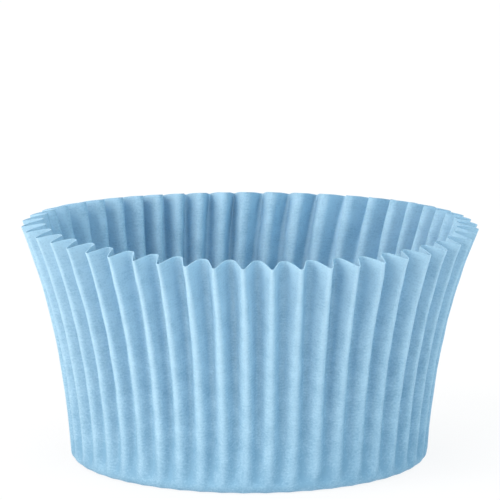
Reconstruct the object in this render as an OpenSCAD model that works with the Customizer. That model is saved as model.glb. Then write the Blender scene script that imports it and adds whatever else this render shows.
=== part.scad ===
// Pleated paper cup for baking, pressed from one flat disc of paper.
// Millimetres, +Z up. The origin is the middle of the floor's underside.
// Pressing neither stretches nor shrinks the paper: every ring of the flat disc keeps its
// length round the wall, which sets how deep the pleats are at each height, and every spoke
// of the disc keeps its length up the wall, which sets how high each point of the rim ends.

/* [Cup] */
// Diameter of the floor, where the wall's line meets the table
floor_d = 50; // [40:0.5:60]
// Diameter over the pleat tips at the rim
rim_d = 63.8; // [58:0.2:75]
// Height of the pleat tips at the rim
wall_h = 32.6; // [20:0.2:40]
// Lean of the wall away from upright just above the floor, in degrees
foot_lean = 4; // [0:0.5:8]
// Lean of the wall away from upright at the rim, in degrees
rim_lean = 22.3; // [15:0.1:30]
// Outer radius of the bend between floor and wall
foot_r = 1.2; // [0.6:0.1:2]
// Thickness of the paper
paper_t = 0.1; // [0.06:0.01:0.16]

/* [Pleats] */
// Number of pleats round the wall
pleats = 48; // [32:1:60]
// Width of the narrow fold at each pleat's tip
tip_w = 0.55; // [0.3:0.05:0.8]
// Length of paper in the round bend of each valley
valley_w = 1.8; // [1:0.1:3]
// Height above the floor at which the pleats have their full depth; below it they are pressed flat
fade_h = 3.2; // [1.5:0.1:5]

/* [Detail] */
// Rings of facets up the wall
wall_steps = 5; // [3:1:5]
// Rings of facets in the bend between floor and wall
bend_steps = 3; // [2:1:3]

/* [Hidden] */
PAPER = [0.62, 0.79, 0.9];
// The wall's rings crowd towards the floor, where the pleats deepen fastest
crowding = 1.6;
// Ring of flat floor that the wall's sheet keeps, half under the floor's disc
floor_lap = 1;
// Most of a pleat's paper that goes into its tip or its valley, near the floor where it has least
most_share = 0.45;
// Slope that counts as flat, in degrees, and halvings in the search for a pleat's slope
flat_slope = 0.01;
tries = 30;

floor_r = floor_d / 2;
// The bend rises from the flat floor at this radius and meets the wall at this height
flat_r = floor_r - foot_r * (cos(foot_lean) - tan(foot_lean) * (1 - sin(foot_lean)));
bend_h = foot_r * (1 - sin(foot_lean));

// Radius over the pleat tips at height z: a cubic with the stated radius and lean at each end
function tip_radius(z) =
    let (
        u = z / wall_h,
        spread = rim_d / 2 - floor_r,
        foot_run = wall_h * tan(foot_lean),
        rim_run = wall_h * tan(rim_lean)
    )
    floor_r + foot_run * u + (3 * spread - 2 * foot_run - rim_run) * pow(u, 2)
        + (foot_run + rim_run - 2 * spread) * pow(u, 3);

// Line over the pleat tips, from the flat floor round the bend to the rim, as [radius, height]
tip_line = [
    [flat_r - floor_lap, 0],
    for (b = [0:bend_steps])
        let (turn = (90 - foot_lean) * b / bend_steps)
        [flat_r + foot_r * sin(turn), foot_r * (1 - cos(turn))],
    for (w = [1:wall_steps])
        let (z = bend_h + (wall_h - bend_h) * pow(w / wall_steps, crowding))
        [tip_radius(z), z]
];
last = len(tip_line) - 1;

// Radius that each ring has in the flat disc: the length of the tip line up to it
function disc_radius(j) = j == 0 ? tip_line[0][0] : disc_radius(j - 1) + spoke_step(j);
function spoke_step(j) = norm(tip_line[j] - tip_line[j - 1]);

// Half a pleat runs from the middle of its tip to the middle of its valley. Its paper is shared
// out between half a flat tip, a straight side and half a round valley:
// [length of the paper, share of the tip, share of the side, share of the valley]
function half_paper(j) =
    let (
        paper = PI * disc_radius(j) / pleats,
        tip = min(tip_w / 2 / paper, most_share),
        valley = min(valley_w / 2 / paper, most_share)
    )
    [paper, tip, 1 - tip - valley, valley];

// Width and depth of half a pleat, per length of paper in it, with its side at the slope given
function radians(slope) = slope * PI / 180;
function half_width(paper, slope) =
    paper[1] + paper[2] * cos(slope) + paper[3] * sin(slope) / radians(slope);
function half_depth(paper, slope) =
    paper[2] * sin(slope) + paper[3] * (1 - cos(slope)) / radians(slope);

// Slope of the side at which all pleats together just go round a wall of radius r, by halving
function spare_width(paper, slope, r) =
    paper[0] * half_width(paper, slope) - PI * (r - paper[0] * half_depth(paper, slope) / 2) / pleats;
function side_slope(paper, r, low = flat_slope, high = 89, left = tries) =
    let (middle = (low + high) / 2)
    left == 0 ? middle
        : spare_width(paper, middle, r) > 0 ? side_slope(paper, r, middle, high, left - 1)
        : side_slope(paper, r, low, middle, left - 1);

// Rises from 0 to 1 as x does, level at both ends
function smooth_step(x) = let (u = min(x, 1)) pow(u, 2) * (3 - 2 * u);

// Corners of half a pleat as [share of the half pitch, inset from the tip line]. The floor is flat.
function half_pleat(j) =
    let (
        paper = half_paper(j),
        full = side_slope(paper, tip_line[j][0]),
        slope = flat_slope + (full - flat_slope) * smooth_step(tip_line[j][1] / fade_h),
        width = half_width(paper, slope),
        depth = half_depth(paper, slope),
        bend = paper[3] / radians(slope)
    )
    [
        [paper[1] / width, 0],
        [(paper[1] + paper[2] * cos(slope)) / width, paper[0] * paper[2] * sin(slope)],
        [1 - bend * sin(slope / 3) / width, paper[0] * (depth - bend * (1 - cos(slope / 3)))]
    ];

// Corners of a whole pleat in plan, ring by ring, starting at its tip and going round
plan = [
    for (j = [0:last])
        let (half = half_pleat(j))
        [
            for (k = [0:5])
                let (
                    corner = k < 3 ? half[k] : half[5 - k],
                    along = k < 3 ? corner[0] : 2 - corner[0],
                    r = tip_line[j][0] - corner[1],
                    turn = along * 180 / pleats
                )
                [r * cos(turn), r * sin(turn)]
        ]
];
corners = len(plan[0]);

// Height of corner k in each ring: each spoke of the disc keeps its length
function rise(j, k) = sqrt(max(0, pow(spoke_step(j), 2) - pow(norm(plan[j][k] - plan[j - 1][k]), 2)));
heights = [
    for (k = [0:corners - 1])
        [for (j = 0, z = 0; j <= last; j = j + 1, z = j > last ? z : z + rise(j, k)) z]
];

around = pleats * corners;
function outer_point(j, i) =
    let (
        k = i % corners,
        turn = floor(i / corners) * 360 / pleats,
        p = plan[j][k]
    )
    [p[0] * cos(turn) - p[1] * sin(turn), p[0] * sin(turn) + p[1] * cos(turn), heights[k][j]];
outer_skin = [for (j = [0:last]) [for (i = [0:around - 1]) outer_point(j, i)]];

// The inner skin lies one thickness of paper inside the outer one, with mitred corners
function unit(v) = v / norm(v);
function mitre(before, after) = unit(unit(before) + unit(after));
function inner_point(j, i) =
    let (
        here = outer_skin[j][i],
        to_here = here - outer_skin[j][(i + around - 1) % around],
        from_here = outer_skin[j][(i + 1) % around] - here,
        up_to = j == 0 ? [here[0], here[1], 0] : here - outer_skin[j - 1][i],
        up_from = j == last ? up_to : outer_skin[j + 1][i] - here,
        round_way = mitre(to_here, from_here),
        up_way = mitre(up_to, up_from),
        full = (round_way * unit(to_here)) * (up_way * unit(up_to))
    )
    here - unit(cross(round_way, up_way)) * paper_t / full;
inner_skin = [for (j = [0:last]) [for (i = [0:around - 1]) inner_point(j, i)]];

// Two triangles between the rings that start at points a and b, split alike beside each tip
function band(a, b, i) =
    let (n = (i + 1) % around)
    i % corners < corners / 2
        ? [[a + i, b + i, b + n], [a + i, b + n, a + n]]
        : [[a + i, b + i, a + n], [b + i, b + n, a + n]];
function turned(faces) = [for (f = faces) [f[2], f[1], f[0]]];

module pleated_wall() {
    inner = (last + 1) * around;
    polyhedron(
        points = [
            for (ring = outer_skin) each ring,
            for (ring = inner_skin) each ring
        ],
        faces = [
            for (i = [0:around - 1]) each [
                for (j = [0:last - 1]) each band(j * around, (j + 1) * around, i),
                for (j = [0:last - 1])
                    each turned(band(inner + j * around, inner + (j + 1) * around, i)),
                each band(last * around, inner + last * around, i),
                each turned(band(0, inner, i))
            ]
        ]
    );
}

module floor_disc() {
    cylinder(r = flat_r - floor_lap / 2, h = paper_t, $fn = around);
}

module liner() {
    color(PAPER) union() {
        pleated_wall();
        floor_disc();
    }
}

liner();
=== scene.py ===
"""Pleated paper baking cup, dressed for its portrait.

The cup is one flat disc of paper pressed to shape. Its surface is worked out from the flat disc:
each point of the paper has a distance from the disc's middle and a place along its pleat, and
pressing keeps every length round the disc and every length out from its middle.
Lengths are in millimetres until the mesh is made. Angles round the cup start at the front.
"""
from math import cos, pi, radians, sin, tan

import bpy
import numpy as np
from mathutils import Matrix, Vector


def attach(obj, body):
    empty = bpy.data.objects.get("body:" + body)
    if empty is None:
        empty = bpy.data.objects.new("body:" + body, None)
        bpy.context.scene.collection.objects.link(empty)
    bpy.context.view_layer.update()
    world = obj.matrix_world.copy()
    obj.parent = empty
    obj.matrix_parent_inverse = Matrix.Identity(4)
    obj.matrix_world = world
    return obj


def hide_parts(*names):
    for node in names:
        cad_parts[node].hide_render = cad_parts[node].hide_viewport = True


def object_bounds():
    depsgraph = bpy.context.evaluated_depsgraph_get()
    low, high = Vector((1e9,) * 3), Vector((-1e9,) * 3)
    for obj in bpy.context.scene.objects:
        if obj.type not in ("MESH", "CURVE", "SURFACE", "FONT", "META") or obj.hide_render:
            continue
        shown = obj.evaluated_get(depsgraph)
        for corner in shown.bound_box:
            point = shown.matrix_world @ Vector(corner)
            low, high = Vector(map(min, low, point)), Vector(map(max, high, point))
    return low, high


MM = 0.001

# The cup, as in the part's source
PLEATS = 48
FLOOR_R = 25.0
WALL_H = 32.6
FOOT_LEAN = radians(4)
RIM_LEAN = radians(22.3)
FOOT_R = 1.2
PAPER_T = 0.1

# Height above the floor at which the pleats have their full depth
FADE_H = 2.2

# Paper in the round of a tip and of a valley, low on the wall and at the rim, and the most of
# half a pleat's paper that either takes
TIP_W = (1.8, 0.8)
VALLEY_W = (1.2, 1.9)
ROUND_SHARE = 0.48

# How finely the sheet is divided: rings of the floor, the bend and the wall, which crowd towards
# the floor, and places along half a pleat's paper, from the middle of its tip
FLOOR_RINGS = 4
BEND_RINGS = 6
WALL_RINGS = 36
CROWDING = 1.35
SHARES = (0, 0.05, 0.1, 0.16, 0.23, 0.32, 0.45, 0.6, 0.74, 0.85, 0.93)

# Halvings in the search for a pleat's slope, and the slope that counts as flat
HALVINGS = 40
FLAT = radians(0.01)

# How a real cup differs from an even one. A wave is its size, its number of waves and its phase in
# degrees. The pleats drift round the cup by DRIFT degrees, by FOOT_DRIFT more just above the floor,
# which fades upwards with the power FOOT_DRIFT_FADE, and by TWIST more towards the rim. The rim
# rises by RIM_RISE millimetres, has slipped to the right by RIM_SLIP, and its valleys stand
# RIM_WAVE higher than even pressing puts them. At random, folds sway by SWAY degrees, pleats differ
# in depth by the share DEPTH_SPREAD, tips stand in or out by TIP_SPREAD millimetres, and the paper
# is dented by CRUMPLE millimetres, in waves of CRUMPLE_LENGTHS.
DRIFT_MEAN = -0.74
DRIFT = [(1.12, 1, 73), (1.42, 2, 177), (1.57, 3, 258), (0.6, 4, 47)]
FOOT_DRIFT = -1
FOOT_DRIFT_FADE = 16
TWIST_MEAN = -2.28
TWIST = [(1.27, 1, 62), (0.63, 2, 171)]
RIM_RISE_MEAN = -0.15
RIM_RISE = [(0.57, 1, 124), (0.35, 2, 248)]
RIM_SLIP = 0.14
RIM_WAVE = 0.22
SWAY = 0.25
DEPTH_SPREAD = 0.05
TIP_SPREAD = 0.1
CRUMPLE = 0.035
CRUMPLE_WAVES = 40
CRUMPLE_LENGTHS = (3, 9)
SEED = 7

# Paper on each side of a tip's middle that is worn and has a painted highlight
TIP_WEAR_AND_HIGHLIGHT_W = 0.55

# The camera: distance from the cup, angle above the table, the point it looks at, the width that
# the picture spans at the cup, its sensor, and the nearest and farthest that it sees, in metres
CAMERA_DISTANCE = 793
CAMERA_ANGLE = radians(10.75)
LOOKS_AT = (0.13, 0, 29.27)
VIEW_WIDTH = 69.85
SENSOR_WIDTH = 36
SEES_FROM, SEES_TO = 0.05, 20

# Soft lamps far away: each one's name, angle to the right of the front, angle up, strength and
# tint. The floor is a pale light table, which glows. Its side is in metres.
WARM = (1, 0.95, 0.91)
COOL = (0.6, 0.87, 1)
WHITE = (1, 1, 1)
LAMPS = [
    ("left_top", -60, 45, 0.3, WARM),
    ("left_front", -35, 12, 0.33, WARM),
    ("left_low", -65, 12, 0.21, WARM),
    ("left_side", -90, 25, 0.14, WARM),
    ("right_front", 35, 12, 0.16, COOL),
    ("right_low", 65, 12, 0.1, COOL),
    ("right_top", 60, 45, 0.09, COOL),
    ("right_side", 100, 25, 0.06, COOL),
    ("above", 0, 80, 0.3, WHITE),
    ("back_left", -150, 35, 0.15, WHITE),
    ("back_right", 150, 35, 0.15, WHITE),
]
LAMP_SPREAD = radians(30)
ROOM_STRENGTH = 0.31
FLOOR_PALE = 0.12
FLOOR_GLOW = 0.87
FLOOR_SIZE = 8


def waves(turn, parts):
    """Sum of sines round the cup, each with its size, number of waves and phase in degrees."""
    return sum(size * np.sin(count * turn + radians(phase)) for size, count, phase in parts)


def folded_at(height):
    """How far the pleats are folded up: 0 on the floor, rising as 3x^2 - 2x^3 to 1 at FADE_H."""
    x = np.clip(height / FADE_H, 0, 1)
    return x**2 * (3 - 2 * x)


def tip_line(rim_r):
    """Radius, height and distance from the disc's middle of each ring, over the pleats' tips.

    Flat floor to the bend, a quarter round of radius FOOT_R that stops at the foot's lean, then a
    cubic in the height whose radius and lean are the stated ones at the floor and at the rim.
    """
    flat_r = FLOOR_R - FOOT_R * (cos(FOOT_LEAN) - tan(FOOT_LEAN) * (1 - sin(FOOT_LEAN)))
    bend_h = FOOT_R * (1 - sin(FOOT_LEAN))
    floor = flat_r * np.arange(1, FLOOR_RINGS) / FLOOR_RINGS
    turn = (pi / 2 - FOOT_LEAN) * np.linspace(0, 1, BEND_RINGS + 1)
    wall_z = bend_h + (WALL_H - bend_h) * np.linspace(0, 1, WALL_RINGS + 1)[1:] ** CROWDING
    u = wall_z / WALL_H
    spread = rim_r - FLOOR_R
    foot_run, rim_run = WALL_H * tan(FOOT_LEAN), WALL_H * tan(RIM_LEAN)
    wall_r = FLOOR_R + foot_run * u + (3 * spread - 2 * foot_run - rim_run) * u**2
    wall_r = wall_r + (foot_run + rim_run - 2 * spread) * u**3
    radius = np.r_[floor, flat_r + FOOT_R * np.sin(turn), wall_r]
    height = np.r_[0 * floor, FOOT_R * (1 - np.cos(turn)), wall_z]
    steps = np.hypot(np.diff(radius), np.diff(height))
    return radius, height, radius[0] + np.r_[0, np.cumsum(steps)]


class Pleat:
    """Half a pleat in plan at each ring: half a round tip, a straight side, half a round valley.

    The paper in each round changes from the wall's foot to its rim with the cube of the height.
    At slope s of the side, a round made of a share c of the paper has radius c / s, so it is
    c sin(s) / s wide and c (1 - cos(s)) / s deep, per length of paper. The slope is the one at
    which all pleats together just go round the wall. It fades away in the last of the wall above
    the floor, where the pleats are pressed flat.
    """

    def __init__(self, radius, height, disc):
        self.paper = pi * disc / PLEATS
        self.tip, self.valley = (
            np.minimum((low + (rim - low) * (height / WALL_H) ** 3) / 2 / self.paper, ROUND_SHARE)
            for low, rim in (TIP_W, VALLEY_W))
        self.side = 1 - self.tip - self.valley
        low, high = np.full(len(disc), FLAT), np.full(len(disc), pi / 2)
        for _ in range(HALVINGS):
            self.slope = (low + high) / 2
            width, depth = self.size()
            loose = self.paper * width > pi * (radius - self.paper * depth / 2) / PLEATS
            low, high = np.where(loose, self.slope, low), np.where(loose, high, self.slope)
        self.slope = FLAT + (self.slope - FLAT) * folded_at(height)

    def size(self):
        """Width and depth of half a pleat, per length of paper in it."""
        s = self.slope
        rounds = self.tip + self.valley
        width = rounds * np.sin(s) / s + self.side * np.cos(s)
        return width, rounds * (1 - np.cos(s)) / s + self.side * np.sin(s)

    def outline(self, share):
        """Share of the half width and inset from the tip line, at each share of the paper."""
        s, tip, valley, side = (v[:, None] for v in (self.slope, self.tip, self.valley, self.side))
        width, depth = (v[:, None] for v in self.size())
        tip_turn = s * np.clip(share / tip, 0, 1)
        valley_turn = s * np.clip((1 - share) / valley, 0, 1)
        along = np.clip(share - tip, 0, side)
        in_valley = share > 1 - valley
        x = tip * np.sin(tip_turn) / s + along * np.cos(s)
        y = tip * (1 - np.cos(tip_turn)) / s + along * np.sin(s)
        x = np.where(in_valley, width - valley * np.sin(valley_turn) / s, x)
        y = np.where(in_valley, depth - valley * (1 - np.cos(valley_turn)) / s, y)
        return x / width, y * self.paper[:, None], depth * self.paper[:, None]


def crumple(x, y, rng):
    """Soft dents in the flat sheet: many small sine waves of random length, way and phase."""
    length = rng.uniform(*CRUMPLE_LENGTHS, CRUMPLE_WAVES)
    way = rng.uniform(0, 2 * pi, CRUMPLE_WAVES)
    start = rng.uniform(0, 2 * pi, CRUMPLE_WAVES)
    across = x[..., None] * np.cos(way) + y[..., None] * np.sin(way)
    return np.sin(2 * pi * across / length + start).mean(axis=-1) * (2 * CRUMPLE_WAVES) ** 0.5


def outward(points):
    """Unit normals of a closed grid of rings: the way round crossed with the way up."""
    round_way = np.roll(points, -1, axis=1) - np.roll(points, 1, axis=1)
    up_way = np.gradient(points, axis=0)
    normal = np.cross(round_way, up_way)
    return normal / np.linalg.norm(normal, axis=-1, keepdims=True)


def pressed_paper(rim_r):
    """The sheet's outer skin as rings of points, with the place of each point on the flat disc.

    A column of points follows one spoke of the disc. In plan it lies in its pleat's outline. Its
    height grows ring by ring by what is left of the spoke's length once its shift in plan is taken
    off. Pleats drift round the cup, sway and vary in depth a little, more so towards the rim.
    """
    rng = np.random.default_rng(SEED)
    radius, height, disc = tip_line(rim_r)
    pleat = Pleat(radius, height, disc)
    half = np.array(SHARES)
    share = np.tile(np.r_[half, 1, half[:0:-1]], PLEATS)
    index, place = np.divmod(np.arange(len(share)), 2 * len(half))
    going_out = place > len(half)
    across, inset, depth = pleat.outline(share[None, :])
    halves = 2 * index + np.where(going_out, 2 - across, across)

    up = np.clip((disc - FLOOR_R) / (disc[-1] - FLOOR_R), 0, 1)[:, None]
    loose = np.sqrt(up)
    fold = np.floor(halves).astype(int)
    past = halves - fold

    def uneven(spread):
        """One random number for each fold, run evenly from fold to fold round the cup."""
        at = rng.normal(0, spread, 2 * PLEATS)
        return at[fold % len(at)] * (1 - past) + at[(fold + 1) % len(at)] * past

    turn = halves * pi / PLEATS
    drift = DRIFT_MEAN + FOOT_DRIFT * (1 - up) ** FOOT_DRIFT_FADE + waves(turn, DRIFT)
    drift = drift + up**2 * (TWIST_MEAN + waves(turn, TWIST))
    turn = turn + np.radians(drift + loose * uneven(SWAY))
    in_valley = inset / depth
    inset = inset * (1 + loose * uneven(DEPTH_SPREAD))
    inset = inset + loose * (1 - in_valley) * uneven(TIP_SPREAD)
    r = radius[:, None] - inset
    x, y = r * np.sin(turn) + RIM_SLIP * up, -r * np.cos(turn)
    spoke = np.diff(disc)[:, None]
    shift = np.hypot(np.diff(x, axis=0), np.diff(y, axis=0))
    rise = np.sqrt(np.maximum(spoke**2 - shift**2, 0))
    z = np.vstack([0 * x[:1], np.cumsum(rise, axis=0)])
    z = z + up**2 * (RIM_RISE_MEAN + waves(turn, RIM_RISE) + RIM_WAVE * in_valley)
    points = np.stack([x, y, z], axis=-1)

    spoke_turn = (index + np.where(going_out, 2 - share, share) / 2) * 2 * pi / PLEATS
    flat = disc[:, None, None] * np.stack([np.sin(spoke_turn), -np.cos(spoke_turn)], axis=-1)
    dents = CRUMPLE * loose * crumple(flat[..., 0], flat[..., 1], rng)
    points = points + dents[..., None] * outward(points)
    # Marks for the material: nearness to a tip's middle, where it is worn and has a painted
    # highlight, the place from tip to valley, where painted shade and light go, and the height
    on_tip = np.clip(1 - share * pleat.paper[:, None] / TIP_WEAR_AND_HIGHLIGHT_W, 0, 1)
    folded = folded_at(height)[:, None]
    marks = np.stack(np.broadcast_arrays(on_tip * folded, share * folded, up), axis=-1)
    return points, flat, marks


def grid_faces(rings, around, start):
    """Quads between neighbouring rings of a closed grid, turned outwards."""
    low = start + np.arange(rings - 1)[:, None] * around + np.arange(around)
    low_next = start + np.arange(rings - 1)[:, None] * around + (np.arange(around) + 1) % around
    return np.stack([low, low_next, low_next + around, low + around], axis=-1).reshape(-1, 4)


def make_liner(rim_r):
    """The whole sheet as one closed mesh: outer skin, inner skin a paper's thickness inside it,
    the cut edge between them at the rim, and a point at the middle of each side of the floor."""
    outer, flat, marks = pressed_paper(rim_r)
    inner = outer - PAPER_T * outward(outer)
    rings, around = outer.shape[:2]
    skin = rings * around
    middles = np.array([[0, 0, 0], [0, 0, PAPER_T]])
    points = np.vstack([outer.reshape(-1, 3), inner.reshape(-1, 3), middles])
    here = np.arange(around)
    ahead = (here + 1) % around
    top = skin - around
    quads = np.vstack([
        grid_faces(rings, around, 0),
        grid_faces(rings, around, skin)[:, ::-1],
        np.stack([top + here, top + ahead, skin + top + ahead, skin + top + here], axis=-1),
    ])
    under, over = 2 * skin + 0 * here, 2 * skin + 1 + 0 * here
    fans = np.vstack([
        np.stack([under, ahead, here], axis=-1),
        np.stack([over, skin + here, skin + ahead], axis=-1),
    ])
    mesh = bpy.data.meshes.new("liner_paper")
    mesh.from_pydata((points * MM).tolist(), [], quads.tolist() + fans.tolist())
    mesh.polygons.foreach_set("use_smooth", np.ones(len(mesh.polygons), bool))
    ends = np.empty(2 * len(mesh.edges), np.int32)
    mesh.edges.foreach_get("vertices", ends)
    low, high = ends[::2], ends[1::2]
    cut = (low % skin >= top) & (high % skin >= top) & (low // skin == high // skin)
    mesh.attributes.new("sharp_edge", "BOOLEAN", "EDGE").data.foreach_set("value", cut)

    def keep(name, columns):
        """Store three numbers a point, the same on both skins, for the material to read. They are
        0 at the middles of the floor."""
        both = np.vstack([columns.reshape(-1, 3)] * 2 + [np.zeros((2, 3))])
        layer = mesh.attributes.new(name, "FLOAT_VECTOR", "POINT")
        layer.data.foreach_set("vector", both.astype(np.float32).ravel())

    keep("flat_sheet", np.dstack([flat, 0 * marks[..., :1]]))
    keep("pleat", marks)
    mesh.update()
    piece = bpy.data.objects.new("liner_paper", mesh)
    bpy.context.scene.collection.objects.link(piece)
    return piece


class Tone:
    """A socket of a material. Sums written with it add their Math nodes."""

    def __init__(self, paint, socket):
        self.paint, self.socket = paint, socket

    def _sum(self, operation, first, second):
        return self.paint.node("ShaderNodeMath", {"operation": operation}, {0: first, 1: second})

    def __add__(self, other):
        return self._sum("ADD", self, other)

    def __radd__(self, other):
        return self._sum("ADD", other, self)

    def __sub__(self, other):
        return self._sum("SUBTRACT", self, other)

    def __rsub__(self, other):
        return self._sum("SUBTRACT", other, self)

    def __mul__(self, other):
        return self._sum("MULTIPLY", self, other)

    def __rmul__(self, other):
        return self._sum("MULTIPLY", other, self)

    def __pow__(self, other):
        return self._sum("POWER", self, other)


class Paint:
    """A material with an empty node tree, filled by one method."""

    def __init__(self, name):
        self.material = bpy.data.materials.new(name)
        self.material.use_nodes = True
        self.tree = self.material.node_tree
        self.tree.nodes.clear()

    def node(self, kind, settings=None, inputs=None, output=0):
        """Add a node: its settings first, then a value or a link for each socket named."""
        node = self.tree.nodes.new(kind)
        for name, value in (settings or {}).items():
            setattr(node, name, value)
        for name, value in (inputs or {}).items():
            if isinstance(value, Tone):
                self.tree.links.new(value.socket, node.inputs[name])
            else:
                node.inputs[name].default_value = value
        return None if output is None else Tone(self, node.outputs[output])

    def attribute(self, name):
        return self.node("ShaderNodeAttribute", {"attribute_name": name}, output="Vector")

    def parts(self, vector):
        """The three numbers of a vector."""
        first = self.node("ShaderNodeSeparateXYZ", inputs={0: vector})
        return [Tone(self, socket) for socket in first.socket.node.outputs]

    def vector(self, operation, first, second=(0, 0, 0), output=0):
        settings = {"operation": operation}
        return self.node("ShaderNodeVectorMath", settings, {0: first, 1: second}, output)

    def noise(self, at, scale, detail, roughness):
        """Cloudy noise about zero, at a scale in features a millimetre."""
        inputs = {"Vector": at, "Scale": scale, "Detail": detail, "Roughness": roughness}
        return self.node("ShaderNodeTexNoise", inputs=inputs) - 0.5

    def mix(self, amount, first, second):
        """A colour between two others."""
        inputs = {0: amount, 6: first, 7: second}
        return self.node("ShaderNodeMix", {"data_type": "RGBA"}, inputs, output=2)

    def finish(self, surface):
        """Show a shader on the material's surface."""
        self.node("ShaderNodeOutputMaterial", inputs={"Surface": surface}, output=None)
        return self.material


def linear(red, green, blue):
    """A colour as seen on a screen, from 0 to 255, as light."""
    seen = np.array([red, green, blue]) / 255
    light = np.where(seen <= 0.04045, seen / 12.92, ((seen + 0.055) / 1.055) ** 2.4)
    return (*light.tolist(), 1.0)


# Ends of the paper's blue, between which grain, painted shade and painted light move it, and the
# blue of the tips' wear and painted highlight
DEEP_BLUE = linear(126, 170, 198)
PALE_BLUE = linear(171, 209, 231)
TIP_WEAR_AND_HIGHLIGHT_BLUE = linear(197, 232, 253)

# The paper's tone, from 0 where it is deep to 1 where it is pale: the tips' at the foot, the
# painted light that makes it paler up to the rim, and the painted shade that deepens it near the
# floor's edge, with the power by which that shade fades
FOOT_TONE = 0.46
RIM_PAINTED_LIGHT = 0.3
FOOT_PAINTED_SHADE = 0.28
FOOT_PAINTED_SHADE_FADE = 8

# What painted shade in the valleys and painted light on the pleats' sides add to it: at the
# foot, and more up to the rim
VALLEY_PAINTED_SHADE = 0.47
VALLEY_PAINTED_SHADE_LESS_UP = 0.78
VALLEY_PAINTED_SHADE_AT_RIM = 0.38
SIDE_PAINTED_LIGHT = 0.35
SIDE_PAINTED_LIGHT_AT_RIM = 0.6
RIM_FADE = 4

# Wear and a painted highlight on the tips: at the foot, and more up to the rim
TIP_WEAR_AND_HIGHLIGHT = 0.1
TIP_WEAR_AND_HIGHLIGHT_UP = 0.42

# Fibres: features a radian round the flat sheet, and features a millimetre out from its middle.
# Grain and clouds: features a millimetre, and how much they change the tone.
FIBRES_ROUND = 40
FIBRES_OUT = 5
GRAIN_SCALE, GRAIN_TONE = 3.5, 1.45
CLOUD_SCALE, CLOUD_TONE = 0.4, 1.05

# The paper's surface: depth of its relief, how dull it is, how it shines, and its share of light
# that passes through
RELIEF = 0.05
RELIEF_STRENGTH = 0.4
RELIEF_SHARE = 0.6
DULL = 0.7
DULL_SPREAD = 0.15
SHINE = 0.15
THROUGH = 0.08


def blue_paper():
    """Dyed greaseproof paper, with painted shade deepest in the valleys near the floor, painted
    light palest at the rim, and wear and a painted highlight on the folds of the tips, most so at
    the rim. Fibres lie round the flat sheet, over a cloudy thickness.

    With u the height from 0 to 1 and s the place from tip to valley, the tone with its painted
    shade and light is a line in u less a power of 1 - u, plus s times a curve in u, plus s (1 - s)
    times another.
    """
    paint = Paint("blue_paper")
    sheet = paint.attribute("flat_sheet")
    tip, share, up = paint.parts(paint.attribute("pleat"))
    out = paint.vector("LENGTH", sheet, output="Value")
    round_way = paint.vector("NORMALIZE", sheet)
    way = paint.vector("MULTIPLY", round_way, (FIBRES_ROUND, FIBRES_ROUND, 0))
    ring = paint.node("ShaderNodeCombineXYZ", inputs={"Z": out * FIBRES_OUT})
    fibres = paint.noise(paint.vector("ADD", way, ring), 1, 4, 0.6)
    grain = paint.noise(sheet, GRAIN_SCALE, 4, 0.6)
    clouds = paint.noise(sheet, CLOUD_SCALE, 3, 0.5)

    rim = up ** RIM_FADE
    # Painted shade in the valleys and painted light on the pleats' sides
    valley = up * VALLEY_PAINTED_SHADE_LESS_UP - rim * VALLEY_PAINTED_SHADE_AT_RIM - VALLEY_PAINTED_SHADE
    side = rim * SIDE_PAINTED_LIGHT_AT_RIM + SIDE_PAINTED_LIGHT
    # Painted light, paler towards the rim, and painted shade, deeper near the floor
    tone_with_painted_shading = FOOT_TONE + up * RIM_PAINTED_LIGHT - (1 - up) ** FOOT_PAINTED_SHADE_FADE * FOOT_PAINTED_SHADE
    tone_with_painted_shading = tone_with_painted_shading + valley * share + share * (1 - share) * side
    tone_with_painted_shading = tone_with_painted_shading + fibres + grain * GRAIN_TONE + clouds * CLOUD_TONE
    # The tips' wear, with a painted highlight on them
    wear_and_highlight = tip * (up * TIP_WEAR_AND_HIGHLIGHT_UP + TIP_WEAR_AND_HIGHLIGHT)
    colour = paint.mix(wear_and_highlight, paint.mix(tone_with_painted_shading, DEEP_BLUE, PALE_BLUE), TIP_WEAR_AND_HIGHLIGHT_BLUE)
    bump = paint.node("ShaderNodeBump", inputs={
        "Strength": RELIEF_STRENGTH,
        "Distance": RELIEF * MM,
        "Height": fibres * RELIEF_SHARE + grain * RELIEF_SHARE,
    })
    front = paint.node("ShaderNodeBsdfPrincipled", inputs={
        "Base Color": colour,
        "Roughness": DULL + grain * DULL_SPREAD,
        "Specular IOR Level": SHINE,
        "Normal": bump,
    })
    back = paint.node("ShaderNodeBsdfTranslucent", inputs={"Color": PALE_BLUE})
    return paint.finish(paint.node("ShaderNodeMixShader", inputs={0: THROUGH, 1: front, 2: back}))


def pale_floor():
    """A matt pale surface that glows."""
    paint = Paint("pale_floor")
    return paint.finish(paint.node("ShaderNodeBsdfPrincipled", inputs={
        "Base Color": (FLOOR_PALE, FLOOR_PALE, FLOOR_PALE, 1),
        "Roughness": 1,
        "Specular IOR Level": 0,
        "Emission Color": (*WHITE, 1),
        "Emission Strength": FLOOR_GLOW,
    }))


def make_floor():
    """A plain square floor that the cup stands on."""
    mesh = bpy.data.meshes.new("floor")
    corners = [(-1, -1, 0), (1, -1, 0), (1, 1, 0), (-1, 1, 0)]
    mesh.from_pydata([(x * FLOOR_SIZE / 2, y * FLOOR_SIZE / 2, z) for x, y, z in corners], [],
                     [(0, 1, 2, 3)])
    mesh.materials.append(pale_floor())
    floor = bpy.data.objects.new("floor", mesh)
    bpy.context.scene.collection.objects.link(floor)


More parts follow.
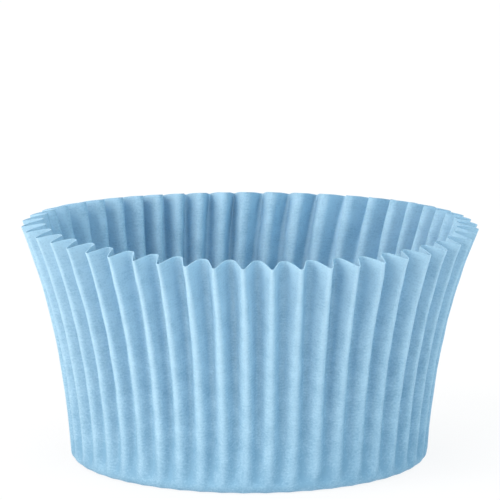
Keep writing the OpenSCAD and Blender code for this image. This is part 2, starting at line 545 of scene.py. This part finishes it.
def direction(turn, height):
    """Unit vector at an angle round the cup from its front, to the right, and at an angle up."""
    return Vector((sin(turn) * cos(height), -cos(turn) * cos(height), sin(height)))


def aim(thing, place, target):
    """Put a camera or lamp at a place, in millimetres, and point it at a target."""
    thing.location = place * MM
    thing.rotation_euler = (target - place).to_track_quat("-Z", "Y").to_euler()
    bpy.context.scene.collection.objects.link(thing)


def make_camera():
    camera = bpy.data.cameras.new("camera")
    camera.sensor_width = SENSOR_WIDTH
    camera.lens = SENSOR_WIDTH * CAMERA_DISTANCE / VIEW_WIDTH
    camera.clip_start, camera.clip_end = SEES_FROM, SEES_TO
    thing = bpy.data.objects.new("camera", camera)
    target = Vector(LOOKS_AT)
    aim(thing, target + direction(0, CAMERA_ANGLE) * CAMERA_DISTANCE, target)
    bpy.context.scene.camera = thing


def make_light():
    """Soft distant lamps all round the cup, and even light from the room."""
    scene = bpy.context.scene
    for name, turn, height, strength, tint in LAMPS:
        lamp = bpy.data.lights.new(name, "SUN")
        lamp.angle = LAMP_SPREAD
        lamp.energy = pi * strength
        lamp.color = tint
        thing = bpy.data.objects.new(name, lamp)
        aim(thing, direction(radians(turn), radians(height)), Vector())
    scene.world = bpy.data.worlds.new("room")
    scene.world.use_nodes = True
    room = scene.world.node_tree.nodes["Background"].inputs
    room["Color"].default_value = (*WHITE, 1)
    room["Strength"].default_value = ROOM_STRENGTH
    scene.view_settings.view_transform = "Standard"
    scene.view_settings.look = "None"


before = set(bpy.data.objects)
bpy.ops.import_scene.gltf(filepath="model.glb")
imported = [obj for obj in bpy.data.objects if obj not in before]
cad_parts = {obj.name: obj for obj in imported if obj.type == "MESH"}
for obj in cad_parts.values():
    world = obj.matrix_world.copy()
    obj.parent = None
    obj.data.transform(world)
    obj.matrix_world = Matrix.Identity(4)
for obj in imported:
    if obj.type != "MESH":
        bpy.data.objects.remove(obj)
cad_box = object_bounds()
rim_r = cad_box[1].x / MM

make_camera()
liner = make_liner(rim_r)
liner.data.materials.append(blue_paper())
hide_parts("liner")
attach(liner, "root")
make_floor()
make_light()
